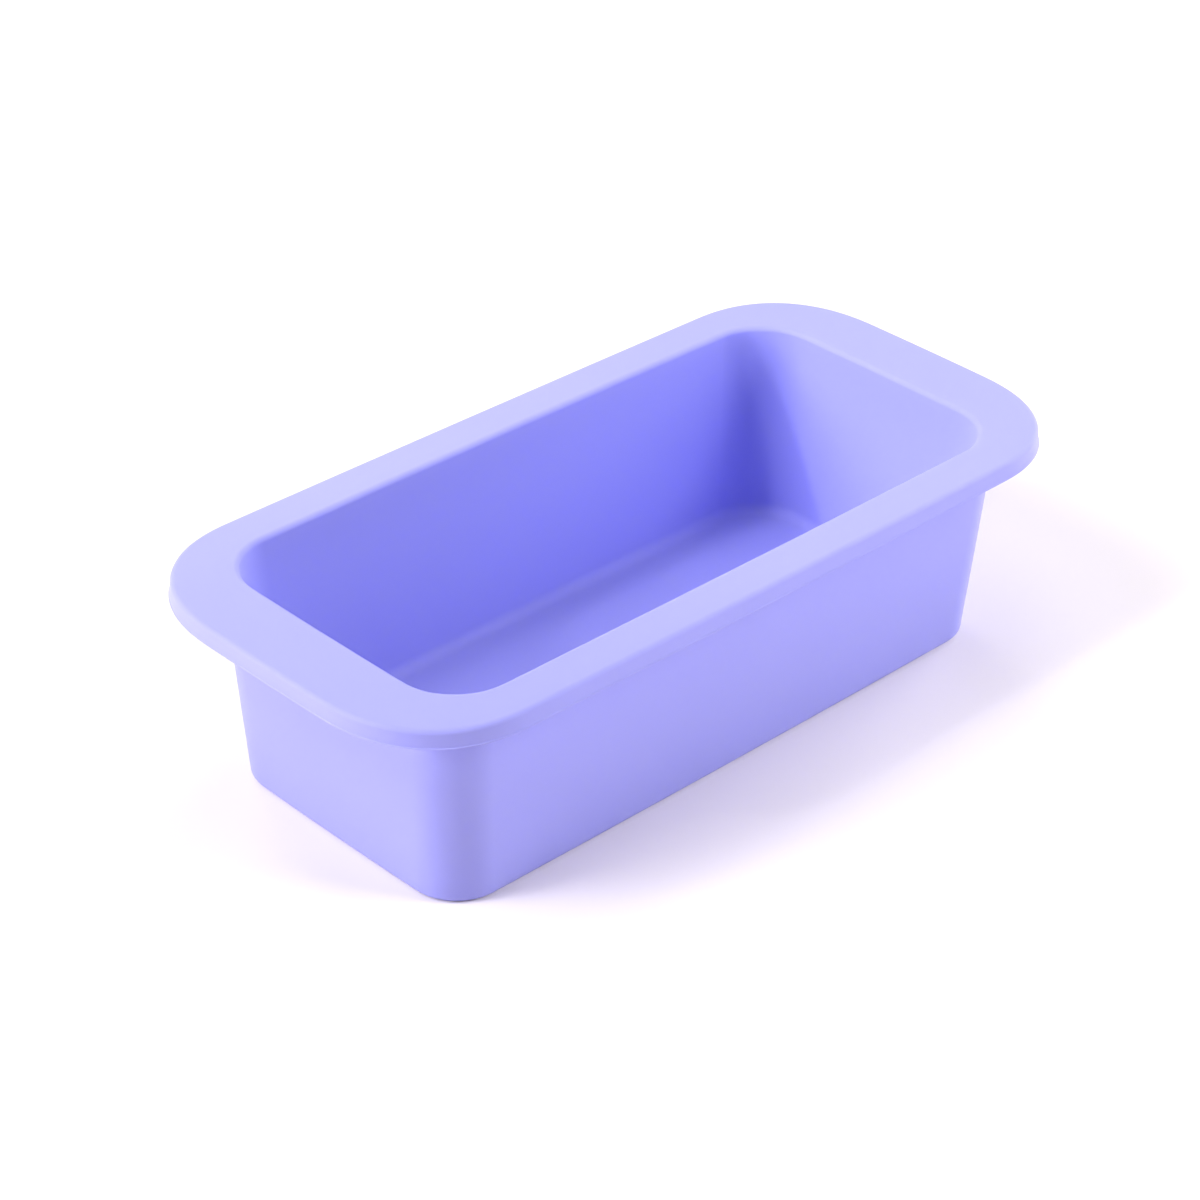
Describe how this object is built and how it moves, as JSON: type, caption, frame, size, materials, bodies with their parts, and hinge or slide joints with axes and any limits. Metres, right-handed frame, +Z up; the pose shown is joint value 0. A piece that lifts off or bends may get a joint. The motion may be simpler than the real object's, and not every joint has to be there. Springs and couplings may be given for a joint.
{
  "type": "silicone soap mould",
  "caption": "Rectangular silicone loaf mould for soap, with leaning walls, rounded corners and a wide flat rim stiffened by a wire ring inside it.",
  "frame": {"origin": "centre of the underside, on the surface that the mould stands on", "axes": "+X along the mould's length, +Y across it, +Z up out of the cavity"},
  "size_m": [0.25, 0.1212, 0.0653],
  "materials": {
    "silicone": "soft matte",
    "steel_wire": "drawn wire, satin"
  },
  "bodies": {
    "root": {"mould_body": "silicone", "rim_wire": "steel_wire"}
  },
  "joints": []
}
